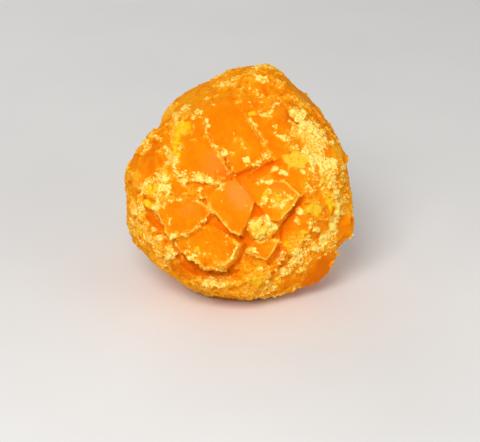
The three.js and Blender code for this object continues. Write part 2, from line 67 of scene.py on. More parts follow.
def tree_along_edges(shell, low, high):
    """A search tree of points along the edges that turn by an angle between two, outwards positive."""
    points = []
    for edge in shell.edges:
        if len(edge.link_faces) == 2 and low < edge.calc_face_angle_signed(0) < high:
            start, end = (v.co for v in edge.verts)
            steps = max(1, round((end - start).length / EDGE_PITCH))
            points += [start.lerp(end, (step + 0.5) / steps) for step in range(steps)]
    tree = kdtree.KDTree(len(points))
    for number, point in enumerate(points):
        tree.insert(point, number)
    tree.balance()
    return tree


ridges = tree_along_edges(shell, SHARP, math.pi)
creases = tree_along_edges(shell, -math.pi, -SHARP)
merged = bpy.data.meshes.new("merged")
shell.to_mesh(merged)
shell.free()


def baked(piece):
    """Turns a piece's modifiers into plain mesh."""
    ready = piece.evaluated_get(bpy.context.evaluated_depsgraph_get())
    mesh = bpy.data.meshes.new_from_object(ready)
    piece.modifiers.clear()
    piece.data = mesh
    return mesh


def new_skin(name, voxel):
    """The solid's whole skin as even small squares."""
    piece = bpy.data.objects.new(name, merged)
    bpy.context.scene.collection.objects.link(piece)
    skin = piece.modifiers.new("skin", "REMESH")
    skin.mode = "VOXEL"
    skin.voxel_size = voxel
    return piece, baked(piece)


def read(mesh, name="co"):
    """Where each point of a mesh is, or another vector that each of them has."""
    values = np.empty(len(mesh.vertices) * 3)
    mesh.vertices.foreach_get(name, values)
    return values.reshape(-1, 3)


def relaxed(mesh, turns, share=1.0):
    """The mesh's points drawn again and again towards their neighbours' middle, each by its own share."""
    ends = np.empty(len(mesh.edges) * 2, int)
    mesh.edges.foreach_get("vertices", ends)
    ends = ends.reshape(-1, 2)
    both = np.concatenate([ends, ends[:, ::-1]])
    points = read(mesh)
    degree = np.bincount(both[:, 0], minlength=len(points))[:, None]
    share = np.broadcast_to(share, len(points))[:, None] * TURN_SHARE
    for _ in range(turns):
        totals = [np.bincount(both[:, 0], points[both[:, 1], axis], len(points)) for axis in range(3)]
        points = points + share * (np.stack(totals, 1) / degree - points)
    return points


def from_tree(tree, points):
    """How far each point is from the nearest one in a search tree, in mm."""
    return np.array([tree.find(point)[2] for point in points]) / MM


def ramp(values, low, high):
    """0 below the low value, 1 above the high one, eased between; falling where low is the greater."""
    share = np.clip((values - low) / (high - low), 0, 1)
    return share * share * (3 - 2 * share)


def beside(away, reach):
    """1 where a distance is 0, about a third at the reach and next to nothing at twice the reach."""
    return np.exp(-((away / reach) ** 2))


lump, mesh = new_skin("jaggery", FINE_VOXEL)
points = read(mesh)
from_ridge = from_tree(ridges, points)
from_crease = from_tree(creases, points)
from_edge = np.minimum(from_ridge, from_crease) * MM
softness = LEAST_SOFT + (1 - LEAST_SOFT) * ramp(from_edge, SOFT_FROM, SOFT_TO)
points = relaxed(mesh, SOFT_TURNS, softness)
mesh.vertices.foreach_set("co", points.ravel())
mesh.update()
normals = read(mesh, "normal")

# How far each point stands above the broad form, in mm: shards' edges are proud and clefts are deep.
broad, broad_mesh = new_skin("broad form", BROAD_VOXEL)
broad_points = relaxed(broad_mesh, BROAD_TURNS)
broad_faces = [polygon.vertices[:] for polygon in broad_mesh.polygons]
broad_skin = bvhtree.BVHTree.FromPolygons(broad_points.tolist(), broad_faces)
bpy.data.objects.remove(broad)
proud = np.empty(len(points))
for number, point in enumerate(points):
    place, outward, _, _ = broad_skin.find_nearest(point)
    proud[number] = (Vector(point) - place).dot(outward) / MM

face = points @ np.array(to_face.to_3x3()).T + np.array(to_face.translation)
u, v, w = face.T / MM  # right across the broken face, up it and out of it

# Streaks of crust on the broken face: from and to (right and up from the ball's middle, in mm), how far
# to each side, how thick, and how dry: 1 is cream-white sugar, 0 is sugar as golden as the wax.
CRUST = [
    # right shoulder, where the ball was left open longest
    (20.0, 17.0, 24.6, 14.0, 2.8, 1.6, 1.0), (24.0, 13.4, 23.6, 8.6, 3.2, 1.8, 1.0),
    (25.0, 9.0, 28.2, 5.5, 2.6, 1.2, 1.0), (28.8, 4.5, 29.8, -1.0, 1.8, 0.9, 0.8),
    (22.4, 4.0, 26.0, 1.5, 2.6, 0.6, 0.8), (22.0, -1.6, 23.6, -2.6, 1.0, 0.9, 1.0),
    (33.2, 4.8, 33.6, 0.6, 0.9, 0.75, 0.8), (29.4, 12.8, 33.0, 13.4, 0.6, 0.6, 0.6),
    (16.2, 14.2, 17.2, 11.6, 1.8, 0.5, 0.6), (13.6, 13.8, 14.6, 13.2, 0.8, 0.8, 0.9),
    # right side and the lip below it
    (30.6, -3.2, 31.0, -5.4, 0.9, 0.8, 0.8), (26.8, -0.8, 27.6, -4.0, 0.9, 0.8, 0.8),
    (31.6, -7.0, 31.8, -10.6, 0.8, 0.8, 0.8), (30.0, -12.4, 30.4, -15.2, 1.2, 0.95, 0.9),
    (30.0, -15.6, 27.4, -18.6, 1.3, 0.95, 0.9), (26.6, -7.2, 27.2, -13.2, 1.0, 0.7, 0.8),
    (18.4, -12.0, 19.2, -13.0, 0.7, 0.8, 0.9), (23.2, -13.0, 22.8, -14.2, 0.8, 0.7, 0.9),
    (20.4, -17.6, 23.8, -19.4, 1.6, 0.55, 0.7), (21.8, -21.8, 25.0, -21.4, 0.7, 0.9, 0.8),
    (25.8, -24.6, 28.6, -22.8, 0.5, 0.8, 0.7), (33.8, -5.0, 34.0, -10.4, 0.9, 0.6, 0.7),
    (17.6, -18.6, 17.2, -23.4, 1.8, 0.6, 0.6), (19.4, -23.0, 16.2, -27.6, 1.5, 0.95, 0.85),
    (16.0, -28.0, 13.0, -30.0, 1.6, 0.95, 0.85), (12.6, -31.4, 10.6, -33.0, 1.4, 0.8, 0.7),
    (34.2, -21.4, 31.4, -26.0, 1.0, 0.8, 0.5), (31.2, -26.4, 28.6, -33.0, 1.1, 0.7, 0.4),
    # right shard and the clump below it
    (6.6, 0.2, 10.0, -0.4, 1.0, 0.9, 0.9), (10.2, 3.4, 11.6, 4.4, 0.9, 1.0, 1.0),
    (7.4, 0.8, 9.6, 1.8, 0.8, 0.9, 0.9),
    (13.6, 3.2, 14.4, 2.8, 0.7, 0.9, 1.0), (8.2, 1.8, 9.4, 2.0, 0.6, 0.9, 1.0),
    (9.6, -3.0, 7.4, -7.0, 0.9, 0.95, 0.8), (11.0, -7.0, 14.8, -6.6, 1.6, 0.7, 0.9),
    (12.6, -4.0, 16.4, -4.8, 1.3, 0.45, 0.7), (5.6, -13.8, 6.6, -17.4, 2.2, 1.0, 0.95),
    (8.4, -11.4, 9.6, -13.4, 1.2, 0.9, 0.8), (8.6, -15.6, 12.0, -14.6, 1.3, 0.95, 0.9),
    # bottom, from the small shard to the left
    (2.4, -22.2, 5.0, -21.6, 0.9, 0.85, 0.8), (6.2, -25.6, 8.4, -26.8, 1.2, 1.0, 0.9),
    (3.2, -27.8, 6.4, -27.4, 1.2, 0.8, 0.8), (4.6, -30.0, 9.0, -31.0, 2.6, 0.6, 0.5),
    (2.0, -34.6, 6.0, -34.4, 1.2, 0.7, 0.5), (-10.0, -32.4, -6.4, -33.2, 1.2, 0.65, 0.5),
    (-5.0, -32.0, 0.0, -32.4, 1.0, 0.75, 0.6), (-3.8, -30.4, -3.0, -31.0, 0.8, 0.8, 0.7),
    (-20.0, -31.8, -9.0, -35.8, 1.8, 0.65, 0.3), (-8.6, -35.6, 4.0, -36.0, 1.4, 0.6, 0.3),
    (-0.6, -20.6, -2.0, -23.8, 0.5, 0.8, 0.8), (-2.4, -24.2, -5.4, -27.2, 0.7, 0.85, 0.8),
    (-6.0, -28.0, -12.0, -27.6, 0.5, 0.65, 0.7), (-8.4, -29.8, -3.6, -29.5, 1.0, 0.75, 0.6),
    (-15.6, -23.8, -14.8, -24.2, 0.6, 0.8, 0.8),
    # lower left
    (-33.4, -14.2, -31.0, -14.8, 1.0, 0.8, 0.6), (-33.2, -16.6, -31.6, -20.4, 1.1, 0.8, 0.5),
    (-29.6, -17.4, -29.0, -18.2, 0.9, 0.7, 0.7), (-26.0, -22.4, -21.0, -24.6, 1.6, 0.65, 0.5),
    (-21.8, -22.0, -20.2, -25.4, 1.3, 0.95, 0.9), (-26.4, -26.2, -22.4, -26.8, 1.3, 0.6, 0.4),
    (-24.6, -17.2, -25.6, -17.8, 0.7, 0.9, 0.9), (-27.0, -14.8, -26.6, -15.2, 0.6, 0.9, 0.9),
    (-30.4, -22.6, -21.0, -30.4, 1.1, 0.6, 0.2),
    # left slab and the nook beside it
    (-21.4, -17.6, -20.2, -20.2, 0.9, 0.9, 0.8), (-17.4, -16.8, -16.4, -17.2, 0.7, 0.9, 0.9),
    (-14.2, -15.0, -12.4, -14.2, 0.6, 0.9, 0.9), (-11.6, -12.6, -10.8, -12.4, 0.5, 0.9, 1.0),
    (-10.6, -14.4, -9.0, -15.4, 0.5, 0.7, 0.8), (-12.6, -16.6, -12.2, -16.8, 0.5, 0.9, 1.0),
    (-22.4, -5.4, -17.0, -4.9, 1.0, 0.9, 0.8), (-17.0, -4.9, -11.6, -6.0, 1.0, 0.85, 0.8),
    (-15.0, -3.6, -12.4, -2.4, 0.8, 0.75, 0.8), (-9.2, -7.4, -8.0, -10.4, 0.5, 0.9, 0.8),
    (-26.2, -8.0, -24.4, -7.4, 1.1, 1.0, 0.8), (-24.2, -1.4, -22.6, -3.8, 0.9, 0.95, 0.75),
    (-22.8, -4.6, -22.4, -5.6, 0.7, 0.8, 0.8), (-27.6, 0.2, -25.6, 1.8, 0.7, 0.8, 0.8),
    (-32.2, -0.2, -31.0, -0.8, 1.2, 0.7, 0.5), (-35.4, -3.6, -34.8, -6.4, 1.2, 0.7, 0.4),
    # ridge under the pane, and up its left side
    (-18.2, 0.2, -13.4, 1.4, 1.4, 1.0, 0.9), (-13.4, 1.4, -9.4, 0.0, 1.4, 1.0, 0.9),
    (-9.2, 0.0, -5.2, -1.6, 1.2, 0.95, 0.9), (-23.0, 5.0, -24.6, 1.6, 1.2, 0.85, 0.7),
    (-20.4, 4.6, -19.6, 2.6, 0.9, 0.7, 0.8), (-19.6, 2.4, -17.4, 2.0, 1.1, 0.7, 0.8),
    (-22.8, 10.6, -21.0, 7.0, 1.0, 0.95, 0.9), (-20.6, 8.4, -20.2, 6.2, 1.2, 0.8, 0.8),
    (-19.6, 22.0, -20.0, 20.0, 0.9, 0.75, 0.6), (-20.4, 19.0, -20.8, 12.0, 1.4, 0.65, 0.5),
    (-26.6, 15.0, -24.4, 13.4, 0.7, 0.75, 0.6), (-24.4, 21.0, -29.8, 15.4, 0.6, 0.4, 0.0),
    # upper left facet and the brow
    (-17.4, 24.2, -16.2, 24.4, 0.8, 0.8, 0.8), (-15.0, 21.0, -14.4, 20.8, 0.8, 0.95, 1.0),
    (-13.4, 22.2, -12.0, 22.6, 0.8, 0.85, 0.8), (-10.4, 18.2, -9.9, 15.4, 0.4, 0.8, 0.9),
    (-10.2, 26.4, -6.6, 28.0, 0.5, 0.8, 0.7), (-8.0, 24.8, -7.6, 24.2, 0.5, 0.8, 0.7),
    (-6.2, 31.0, -2.0, 31.2, 1.0, 0.8, 0.6), (0.4, 26.6, 0.6, 25.0, 1.1, 0.6, 0.5),
    (4.0, 19.6, 5.6, 16.6, 0.5, 0.9, 0.8), (7.6, 21.2, 9.4, 21.6, 0.8, 0.9, 0.8),
    (9.6, 21.8, 12.2, 24.8, 0.8, 0.85, 0.8), (10.0, 27.6, 11.0, 26.6, 0.5, 0.8, 0.7),
    (11.8, 17.4, 11.6, 14.8, 0.6, 0.7, 0.7), (11.6, 14.8, 12.8, 14.4, 0.6, 0.8, 0.8),
    (-8.2, 11.6, -6.4, 11.0, 0.8, 0.75, 0.6), (-5.2, 11.0, -3.8, 9.4, 0.7, 0.75, 0.7),
    (-3.6, 8.8, -1.6, 8.8, 0.7, 0.8, 0.7), (-1.6, 13.2, 1.0, 12.6, 0.9, 0.55, 0.5),
    (0.6, 12.4, 2.0, 10.0, 0.8, 0.65, 0.6), (2.2, 7.0, 2.8, 6.2, 0.8, 0.95, 0.9),
    (6.4, 6.2, 10.0, 9.0, 0.8, 0.95, 0.8), (-6.4, 8.4, -3.0, 5.0, 0.5, 0.8, 0.7),
    (3.0, 3.4, 6.0, 5.6, 0.8, 0.6, 0.7), (16.2, 20.0, 17.6, 18.4, 0.4, 0.8, 0.7),
    # crown and the band of crumbs down the right shoulder
    (-4.4, 35.6, 0.6, 37.0, 1.2, 0.6, 0.3), (-3.6, 33.6, 4.0, 33.6, 1.2, 0.55, 0.3),
    (1.6, 36.4, 4.6, 34.8, 0.9, 0.6, 0.3), (6.4, 33.4, 8.6, 33.2, 1.1, 0.95, 0.8),
    (6.0, 37.2, 8.6, 38.0, 0.9, 0.8, 0.5), (9.0, 37.6, 12.0, 36.8, 0.5, 0.7, 0.5),
    (9.0, 35.6, 11.6, 35.2, 0.8, 0.6, 0.5), (11.4, 33.4, 14.4, 32.4, 0.8, 0.6, 0.5),
    (12.4, 31.0, 15.6, 28.2, 0.9, 0.7, 0.6), (15.6, 28.2, 18.4, 26.0, 0.7, 0.65, 0.5),
    (19.2, 25.4, 22.8, 25.2, 1.1, 0.7, 0.45), (18.0, 22.0, 20.2, 21.6, 1.1, 1.0, 1.0),
    (20.4, 20.8, 20.8, 19.4, 0.7, 0.9, 0.9),
    # strands across the nook
    (-22.4, -1.6, -22.4, -5.6, 0.7, 0.95, 0.9), (-15.4, 0.8, -14.4, -4.4, 0.8, 0.9, 0.8),
    (-14.9, -2.9, -12.2, -4.7, 0.6, 0.95, 0.9), (-26.4, 2.6, -23.4, 0.8, 0.7, 0.9, 0.9),
    (-25.0, -3.2, -26.2, -6.6, 1.2, 0.9, 0.75), (-28.8, 0.6, -30.6, -3.4, 0.8, 0.85, 0.8),
    # left rim: pale chunks between clear ones
    (-32.6, 2.4, -33.4, -1.0, 0.9, 0.8, 0.6), (-34.4, -6.8, -33.6, -10.4, 0.8, 0.8, 0.6),
    (-31.6, -8.0, -31.0, -12.4, 0.7, 0.7, 0.5), (-33.6, -13.0, -29.6, -14.4, 1.0, 0.9, 0.8),
    (-30.8, 8.6, -28.4, 11.2, 0.6, 0.7, 0.5), (-32.0, -18.0, -28.6, -22.6, 0.9, 0.8, 0.6),
]
# Sharp edges of shards that chipped pale: from and to, and how pale.
CHIPPED = [
    (-26.6, -8.6, -22.4, -17.2, 1.0), (-9.6, -8.2, -4.2, -14.9, 0.9), (-4.2, -14.9, 0.4, -17.0, 1.0),
    (14.6, 1.0, 19.8, -4.4, 1.0), (19.8, -4.4, 14.4, -11.2, 0.8), (12.8, -19.2, 9.0, -25.0, 1.0),
    (2.0, -24.2, 9.0, -25.1, 0.9), (-6.9, 8.7, -2.9, 3.3, 0.8), (3.0, 19.0, 7.8, 12.4, 0.8),
    (-20.2, -18.2, -18.6, -23.8, 0.8), (-22.4, -17.2, -16.6, -15.8, 0.6), (-1.2, -22.2, -0.6, -19.2, 0.9),
    (10.4, 28.4, 14.2, 22.2, 0.6), (-10.8, 16.8, -6.8, 9.2, 0.5), (29.0, 13.4, 34.4, 13.2, 0.9),
    (34.6, 12.8, 36.2, 4.0, 0.8), (14.2, 36.6, 31.6, 17.4, 0.7), (-31.6, -22.0, -20.0, -31.6, 0.6),
]
# Patches on the broken face: middle, reach along and across, turn in degrees, amount.
YELLOW = [  # clear yellow wax, where the sugar never set
    (-17.6, 17.4, 2.8, 2.6, 0, 1.0), (-20.0, 13.4, 2.0, 3.8, 0, 0.85), (-19.8, 8.8, 1.6, 2.2, 0, 0.8),
    (18.4, 6.8, 4.6, 2.6, -8, 1.0), (24.0, -8.8, 3.0, 1.9, -8, 1.0), (4.2, 21.8, 1.6, 1.1, 30, 0.8),
    (-28.0, -2.4, 2.4, 2.0, 20, 0.9), (-28.8, -7.2, 2.2, 1.3, -30, 0.9), (-32.0, -16.0, 2.0, 1.4, 0, 0.8),
    (-23.2, 3.6, 1.0, 2.4, -20, 0.8), (29.6, -6.0, 1.6, 4.0, 0, 0.6), (20.4, -17.0, 3.0, 1.6, 20, 0.6),
    (14.4, -6.0, 2.6, 1.6, -20, 0.5), (28.0, 1.6, 2.0, 3.0, 0, 0.6), (21.0, 22.6, 3.0, 1.2, -45, 0.5),
    (12.2, -31.6, 1.6, 1.5, 0, 0.8), (16.6, -20.0, 2.2, 2.6, 0, 0.7), (6.0, -32.0, 3.6, 2.2, 0, 0.6),
    (34.6, 1.4, 1.0, 2.4, 0, 0.6), (-13.4, -21.6, 1.6, 0.9, -30, 0.6), (8.4, -14.4, 2.4, 2.0, 0, 0.8),
    (8.3, -4.8, 2.2, 0.9, 65, 0.8), (23.2, 11.0, 2.6, 5.0, 0, 0.6),
]
PAINTED_SHEEN = [  # painted sheen: facets a little pinker and paler where they would catch the light's reflection
    (0.0, -4.6, 5.2, 3.2, -52, 1.0), (-7.2, 5.6, 4.2, 4.6, 0, 0.6), (13.2, -24.0, 1.6, 2.6, 20, 0.8),
    (-15.6, -8.8, 3.4, 2.0, 0, 0.4), (13.2, -3.4, 2.6, 2.0, -40, 0.4),
]
PAINTED_SHADE_PATCHES = [  # painted shade: facets turned from the light and shaded channels made darker
    (15.4, 21.6, 6.4, 2.8, -50, 1.2), (-4.6, 5.0, 3.4, 2.6, -60, 1.0), (6.6, 14.0, 4.0, 3.4, -45, 0.4),
    (27.0, -29.0, 8.4, 5.4, 50, 1.3), (-28.4, 8.6, 3.6, 4.6, 0, 0.8), (-17.0, -28.4, 6.0, 1.9, -14, 1.3),
    (-26.6, -12.4, 2.0, 4.4, 20, 0.6), (-20.0, 28.0, 5.0, 3.0, 35, 0.2),
    (-3.0, 1.6, 2.2, 1.4, -30, 1.2), (-1.0, 24.0, 8.0, 5.0, 0, 0.3),
]
HAZED = [  # a thin film of sugar that the wax shows through
    (13.4, -7.4, 4.2, 2.6, -45, 1.0), (32.0, 10.0, 2.2, 3.4, 0, 1.0), (-25.4, -3.4, 3.6, 3.8, 0, 0.8),
    (25.0, -5.0, 6.4, 9.0, 0, 0.65), (18.6, -19.4, 4.6, 3.6, 0, 0.7), (-31.4, -5.0, 3.4, 11.0, 0, 0.5),
    (-26.0, -21.0, 5.4, 4.0, 0, 0.5), (0.0, -32.6, 13.0, 2.8, 0, 0.6), (22.0, 12.0, 5.0, 7.0, 0, 0.4),
    (-8.6, -22.6, 5.6, 3.0, -20, 0.4), (-21.0, 26.0, 11.0, 3.6, 38, 0.9), (1.0, -26.4, 4.0, 2.0, 0, 0.6),
    (7.6, -23.0, 2.4, 1.4, 20, 0.4), (-4.6, -12.0, 3.6, 2.4, -50, 0.4), (8.4, 0.8, 2.4, 1.4, 0, 0.8),
    (-5.0, -29.8, 4.4, 1.4, 0, 1.0), (-20.2, 12.0, 2.6, 8.0, 0, 0.6), (-1.6, -18.6, 1.6, 1.2, 0, 0.8),
]
LEMON_FLAKES = [  # flakes of pale yellow sugar, flat and dull
    (18.6, 6.5, 4.4, 2.6, -8, 1.0), (6.6, -15.6, 3.0, 3.0, 0, 0.8), (24.4, -8.6, 2.0, 1.4, -8, 0.6),
]
BARE = [  # skin and facets that no crust stuck to
    (-15.0, 31.0, 8.6, 3.0, 32, 1.0), (27.0, -29.0, 7.0, 4.6, 50, 0.9), (-2.4, 21.0, 5.0, 3.4, 0, 0.7),
    (-12.0, 7.4, 6.6, 4.0, 0, 0.8), (8.0, 30.4, 5.0, 2.0, -20, 0.5), (2.0, 34.6, 10.0, 2.6, 0, 0.4),
    (23.0, 27.6, 12.6, 2.2, -47, 1.0), (32.2, 10.2, 2.4, 2.8, 0, 1.0), (33.0, 3.0, 1.0, 3.4, 0, 0.7),
    (-18.9, -1.6, 2.6, 1.9, 0, 0.9), (-28.6, 8.0, 3.0, 3.4, 0, 0.5), (-25.0, -11.0, 1.6, 3.6, 20, 0.8),
    (34.0, -14.6, 2.4, 3.0, 0, 0.8), (12.0, 24.0, 4.0, 3.0, -45, 0.5), (-9.0, 26.0, 8.0, 4.0, 15, 0.5),
    (-17.4, -28.2, 5.0, 1.6, -14, 1.0),
]
CRUMBLY = [  # where the break went through crumbly sugar and left flakes, not whole facets
    (25.0, -6.0, 6.4, 10.0, 0, 1.0), (18.6, -20.0, 5.0, 5.0, 0, 0.9), (22.0, 12.0, 5.0, 7.0, 0, 0.8),
    (-24.6, -1.0, 5.6, 5.6, 0, 1.0), (-30.0, -6.0, 4.0, 13.0, 0, 1.0), (-26.0, -21.0, 6.0, 5.0, 0, 0.9),
    (0.0, -32.4, 14.0, 3.4, 0, 1.0), (-20.6, 12.0, 3.0, 8.0, 0, 0.8), (16.4, 10.0, 3.0, 6.0, 0, 0.6),
    (-15.0, 23.0, 6.0, 2.6, 20, 0.6), (8.0, -14.6, 4.4, 3.6, 0, 0.8), (10.0, 23.0, 5.0, 4.0, 0, 0.4),
]
# Nuggets of dry sugar that stuck where they fell: middle and how far each reaches.
NUGGETS = [
    (19.3, -9.2, 1.3), (18.2, -12.4, 0.8), (11.4, 3.9, 1.1), (14.0, 3.0, 0.9), (-9.9, 19.4, 0.9),
    (-9.5, 17.6, 0.7), (17.8, 22.4, 1.3), (19.6, 21.4, 1.2), (18.6, 20.0, 0.8), (-15.8, -24.2, 0.9),
    (-14.2, -23.6, 0.6), (25.2, -15.2, 1.1), (24.4, -21.2, 1.2), (26.0, -21.6, 0.9), (7.2, -27.2, 1.5),
    (-6.8, 3.0, 0.6), (-4.4, 8.6, 1.0), (2.6, 6.4, 0.9), (-20.4, -16.8, 0.9), (30.4, -14.6, 1.4),
    (28.6, -17.4, 1.3), (5.2, -22.0, 0.9), (-26.2, -8.0, 1.3), (-23.4, -2.4, 1.0), (7.2, -16.2, 1.4),
    (9.4, -13.0, 1.2), (5.4, -14.2, 1.1), (6.6, 33.6, 1.0), (-22.6, -23.6, 1.2), (14.6, -29.0, 1.3),
]

CELL_PRIMES = np.array((73856093, 19349663, 83492791))
SEED_PRIME, STIR_PRIME = 668265263, 1274126177
SLOPE_COUNT = 256
NOISE_GAIN = 1.6  # brings noise to about -1 to 1
FAR = 9.0  # in cells, further away than the middle of any near flake
BIT_LEAST, BIT_SPAN = 0.25, 0.45  # the lowest bit, and how much higher others are, in shares of the pitch
BIT_SLOPE = 0.12  # how wide a bit's sides are, in shares of the pitch
BIT_TILT = 0.3  # how much of its flake's tilt a bit's top has


def dice(cells, seed):
    """A number from 0 to 1 for each cell of a grid: the same each time for a cell and a seed."""
    number = cells.astype(np.int64) @ CELL_PRIMES + seed * SEED_PRIME
    number = (number ^ (number >> 13)) * STIR_PRIME
    return ((number ^ (number >> 16)) & 0xFFFFFF) / 0x1000000


slopes = np.random.default_rng(3).normal(size=(SLOPE_COUNT, 3))
slopes /= np.linalg.norm(slopes, axis=1)[:, None]


def slope_of(cells, seed):
    """One of the slopes for each cell of a grid."""
    return slopes[(dice(cells, seed) * SLOPE_COUNT).astype(int)]


def noise_at(points, pitch, octaves, seed):
    """Noise that changes over a pitch, about -1 to 1; every further octave is half as coarse and high."""
    total = np.zeros(len(points))
    for octave in range(octaves):
        place = points / pitch * 2**octave
        cell = np.floor(place)
        part = place - cell
        ease = part**3 * (part * (part * 6 - 15) + 10)
        for corner in itertools.product((0, 1), repeat=3):
            slope = slope_of(cell + corner, seed + 10 * octave)
            weight = np.where(corner, ease, 1 - ease).prod(1)
            total += NOISE_GAIN * 0.5**octave * weight * (slope * (part - corner)).sum(1)
    return total


def flakes_at(points, pitch, seed):
    """Uneven flakes about a pitch across: how far in from their borders (mm), own tone, and tilt (mm)."""
    place = points / pitch
    cell = np.floor(place)
    first, second = np.full(len(points), FAR), np.full(len(points), FAR)
    tone, tilt = np.zeros(len(points)), np.zeros(len(points))
    for step in itertools.product((-1, 0, 1), repeat=3):
        near = cell + step
        aside = place - near - np.stack([dice(near, seed + axis) for axis in range(3)], 1)
        away = np.linalg.norm(aside, axis=1)
        closer = away < first
        second = np.where(closer, first, np.minimum(second, away))
        first = np.where(closer, away, first)
        tilt = np.where(closer, (slope_of(near, seed + 3) * aside).sum(1), tilt)
        tone = np.where(closer, dice(near, seed + 4), tone)
    return (second - first) / 2 * pitch / MM, tone, tilt * pitch / MM


def bits_at(points, pitch, chance, seed):
    """Angular bits of crust about a pitch across, each there by chance: height (mm) and own tone."""
    inset, tone, tilt = flakes_at(points, pitch, seed)
    luck = 97 * tone % 1
    size = BIT_LEAST + BIT_SPAN * (31 * tone % 1)
    height = size * pitch / MM * ramp(inset, 0, BIT_SLOPE * pitch / MM) + BIT_TILT * tilt
    return np.where(luck < chance, np.maximum(height, 0), 0), tone


# Which part of the ball a point is on, from how far it is out of the face and off its middle, in mm.
off_middle = np.hypot(u, v)
on_face = ramp(w, -6, 2)
skin = ramp(w, 8, -6)
rim = ramp(off_middle, 22, 30) * ramp(w, -14, 2)

# Clouds that break up all that lies on the ball. On the pressed skin the coarse ones are drawn out into
# streaks, the way the palm wiped it.
DRAWN_OUT = (1, 1, 0.4)
coarse = noise_at(points, pitch=2.4 * MM, octaves=4, seed=1)
streaks = noise_at(points * DRAWN_OUT, pitch=2.2 * MM, octaves=4, seed=15)
coarse = coarse + skin * (streaks - coarse)
finer = noise_at(points, pitch=0.8 * MM, octaves=2, seed=2)
slow = noise_at(points, pitch=9 * MM, octaves=2, seed=3)
STRAY = 0.7  # how far the borders of streaks and patches stray, in mm
warped_u = u + STRAY * noise_at(points, pitch=1.8 * MM, octaves=3, seed=4)
warped_v = v + STRAY * noise_at(points, pitch=1.8 * MM, octaves=3, seed=5)

# Where a streak or a patch ends and where it is whole, in shares of its reach.
STREAK_FADE, PATCH_FADE = (1.7, 0.1), (1.3, 0.5)
CHIPPED_FADE = (2.0, 1.2)  # the same for a chipped edge, in mm from its line
CHIPPED_REACH, CRUSTED_REACH, BROKEN_REACH = 0.36, 0.45, 0.35  # mm to each side of a broken edge


def aside_from(from_u, from_v, to_u, to_v):
    """How far each point lies from a line across the broken face."""
    run_u, run_v = to_u - from_u, to_v - from_v
    along = (warped_u - from_u) * run_u + (warped_v - from_v) * run_v
    along = np.clip(along / (run_u**2 + run_v**2), 0, 1)
    return np.hypot(warped_u - from_u - along * run_u, warped_v - from_v - along * run_v)


def patched(table):
    """How much of a table's ragged patches lies at each point."""
    most = np.zeros(len(points))
    for middle_u, middle_v, long, wide, turn, amount in table:
        cos, sin = math.cos(math.radians(turn)), math.sin(math.radians(turn))
        along = ((warped_u - middle_u) * cos + (warped_v - middle_v) * sin) / long
        across = ((warped_v - middle_v) * cos - (warped_u - middle_u) * sin) / wide
        most = np.maximum(most, amount * ramp(np.hypot(along, across), *PATCH_FADE) * on_face)
    return most


laid = np.zeros(len(points))
dryness = np.zeros(len(points))
for from_u, from_v, to_u, to_v, reach, thick, dry in CRUST:
    here = thick * ramp(aside_from(from_u, from_v, to_u, to_v) / reach, *STREAK_FADE) * on_face
    dryness = np.where(here > laid, dry, dryness)
    laid = np.maximum(laid, here)
chipped = np.zeros(len(points))
for from_u, from_v, to_u, to_v, amount in CHIPPED:
    here = ramp(aside_from(from_u, from_v, to_u, to_v), *CHIPPED_FADE)
    chipped = np.maximum(chipped, amount * here * beside(from_ridge, CHIPPED_REACH) * on_face)
nugget = np.zeros(len(points))
for middle_u, middle_v, reach in NUGGETS:
    aside = np.hypot(warped_u - middle_u, warped_v - middle_v)
    nugget = np.maximum(nugget, np.sqrt(np.maximum(reach**2 - aside**2, 0)) * on_face)
yellow = ramp(patched(YELLOW) * (1 + 0.7 * coarse + 0.4 * finer), 0.3, 0.65)
lemon = ramp(patched(LEMON_FLAKES) * (1 + 0.8 * coarse + 0.5 * finer), 0.25, 0.6)
bare, painted_shade, crumbly = patched(BARE), patched(PAINTED_SHADE_PATCHES), patched(CRUMBLY)

# The rims and the pressed skin are built of flakes with a step at each border; the facets are whole.
FLAKE_PITCH, CHIP_PITCH = 4.4 * MM, 2.0 * MM
FLAKE_BORDER, CHIP_BORDER = 0.32, 0.22  # how far in from its border a flake is still broken, in mm
KNOCK = 0.45 * MM  # how far the borders of flakes and bits stray
strays = [noise_at(points, pitch=1.1 * MM, octaves=2, seed=seed) for seed in (11, 12, 13)]
knocked = points + KNOCK * np.stack(strays, 1)
inset, flake_tone, flake_tilt = flakes_at(knocked, FLAKE_PITCH, seed=90)
chip_inset, chip_tone, chip_tilt = flakes_at(knocked, CHIP_PITCH, seed=95)
flaky = np.clip(np.maximum(rim, crumbly) + 0.6 * skin, 0, 1)
flaky *= (0.35 + 0.65 * ramp(slow, -0.5, 0.3)) * (1 - bare)
flaking = 0.5 * (flake_tone - 0.5) + 0.10 * flake_tilt + 0.26 * (chip_tone - 0.5) + 0.08 * chip_tilt
border = np.maximum(beside(inset, FLAKE_BORDER), 0.8 * beside(chip_inset, CHIP_BORDER)) * flaky
web = border * ramp(slow + coarse, -0.1, 0.3)  # on these borders sugar set
gap = border * ramp(slow + coarse, 0.0, -0.4)  # and these are open

# How likely crust is at each point: on the streaks, along broken edges and the flakes' borders, and over
# the whole pressed skin, but seldom in a cleft or on the flat of a shard.
sunk = ramp(proud, -0.5, -1.8)
edge = beside(from_ridge, CRUSTED_REACH)
likely = 0.03 + 0.12 * flaky + 0.06 * skin + (0.64 - 0.04 * rim) * laid + 0.10 * edge
likely += 0.14 * slow * (rim + skin) + 0.20 * web - 0.20 * sunk - 0.25 * yellow * (1 - laid)
likely = np.clip(likely - 0.5 * bare * (1 - laid) - 0.2 * lemon, 0, 1)
film = ramp(likely + 0.42 * coarse + 0.42 * finer, 0.46, 0.62)
patchy = likely * ramp(likely + 0.5 * coarse, 0.05, 0.45)

